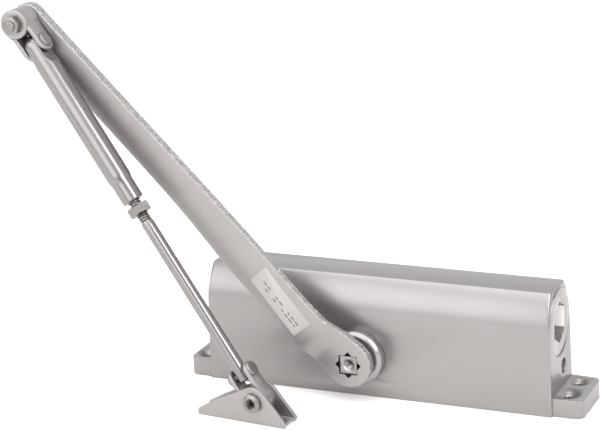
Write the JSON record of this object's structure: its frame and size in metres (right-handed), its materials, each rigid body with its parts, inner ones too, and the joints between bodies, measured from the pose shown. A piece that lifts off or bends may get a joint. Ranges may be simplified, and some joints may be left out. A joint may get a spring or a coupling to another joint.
{
  "type": "door closer",
  "caption": "Surface-mounted hydraulic rack-and-pinion door closer with a regular two-piece arm, adjustable forearm and hinged shoe.",
  "frame": {"origin": "centre of the body's four mounting holes, on the door face", "axes": "+Z out of the door face, +X along the body towards the end with the closing valve, -Y towards the arm"},
  "size_m": [0.3417, 0.1218, 0.2321],
  "materials": {
    "painted_aluminium": "satin silver enamel",
    "painted_steel": "satin silver enamel",
    "zinc_steel": "bright zinc plate",
    "steel": "ground steel",
    "brass": "turned brass",
    "rubber": "black nitrile",
    "spring_steel": "dark spring steel",
    "label": "matt printed film, left blank"
  },
  "bodies": {
    "body": {"body_casting": "painted_aluminium", "right_end_plug": "painted_steel", "left_end_plug": "painted_steel", "right_plug_o_ring": "rubber", "left_plug_o_ring": "rubber", "front_bearing_cap": "painted_steel", "rear_bearing_cap": "painted_steel", "front_needle_bearing": "steel", "rear_needle_bearing": "steel", "front_shaft_seal": "rubber", "rear_shaft_seal": "rubber", "closing_spring": "spring_steel"},
    "closing_valve": {"closing_valve": "zinc_steel", "closing_valve_o_ring": "rubber"},
    "backcheck_valve": {"backcheck_valve": "zinc_steel", "backcheck_valve_o_ring": "rubber"},
    "arm": {"pinion_shaft": "steel", "main_arm": "painted_steel", "arm_label": "label", "elbow_stud": "painted_steel", "elbow_nut": "painted_steel"},
    "piston": {"piston": "steel", "check_ball_retainer": "brass"},
    "check_ball": {"check_ball": "steel"},
    "elbow_knuckle": {"elbow_knuckle": "painted_steel", "elbow_rivet": "zinc_steel"},
    "forearm_tube": {"forearm_tube": "zinc_steel"},
    "forearm_rod": {"forearm_rod": "zinc_steel"},
    "lock_nut": {"lock_nut": "zinc_steel"},
    "shoe_knuckle": {"shoe_knuckle": "painted_steel", "shoe_rivet": "zinc_steel"},
    "shoe": {"shoe_bracket": "painted_steel", "shoe_pivot_screw": "zinc_steel", "shoe_pivot_nut": "zinc_steel"}
  },
  "joints": [
    {"name": "spindle_turn", "type": "hinge", "parent": "body", "child": "arm", "pos_m": [-0.0104, 0, 0.0246], "axis": [0, -1, 0], "range_deg": [0, 175], "stiffness_Nm_per_rad": 6, "springref_deg": -51.57},
    {"name": "piston_slide", "type": "slide", "parent": "body", "child": "piston", "axis": [-1, 0, 0], "range_m": [0, 0.034], "deforming": ["closing_spring"]},
    {"name": "check_ball_lift", "type": "slide", "parent": "piston", "child": "check_ball", "axis": [1, 0, 0], "range_m": [0, 0.0018]},
    {"name": "closing_valve_turn", "type": "hinge", "parent": "body", "child": "closing_valve", "pos_m": [0.1, 0.0054, 0.0219], "axis": [1, 0, 0], "range_deg": [-360, 360]},
    {"name": "backcheck_valve_turn", "type": "hinge", "parent": "body", "child": "backcheck_valve", "pos_m": [-0.1, 0.0054, 0.0219], "axis": [-1, 0, 0], "range_deg": [-360, 360]},
    {"name": "elbow_swivel", "type": "hinge", "parent": "arm", "child": "elbow_knuckle", "pos_m": [-0.2063, -0.0516, 0.22256], "axis": [0, 1, 0], "range_deg": [-60, 150]},
    {"name": "elbow_tilt", "type": "hinge", "parent": "elbow_knuckle", "child": "forearm_tube", "pos_m": [-0.19621, -0.0516, 0.20887], "axis": [-0.8049, 0, -0.5934], "range_deg": [-5.5, 20]},
    {"name": "rod_adjust", "type": "slide", "parent": "forearm_tube", "child": "forearm_rod", "axis": [0.5905, -0.0993, -0.8009], "range_m": [-0.003, 0.012]},
    {"name": "lock_nut_turn", "type": "hinge", "parent": "forearm_rod", "child": "lock_nut", "pos_m": [-0.06177, -0.07421, 0.02653], "axis": [0.5905, -0.0993, -0.8009], "continuous": true},
    {"name": "shoe_tilt", "type": "hinge", "parent": "forearm_rod", "child": "shoe_knuckle", "pos_m": [-0.06177, -0.07421, 0.02653], "axis": [-0.7973, 0.0824, -0.598], "range_deg": [-15, 15]},
    {"name": "shoe_swivel", "type": "hinge", "parent": "shoe_knuckle", "child": "shoe", "pos_m": [-0.05166, -0.07526, 0.0129], "axis": [0.1028, 0.9947, 0], "range_deg": [-100, 45]}
  ],
  "couplings": [
    {"joint": "piston_slide", "follows": "spindle_turn", "m_per_rad": 0.011}
  ]
}
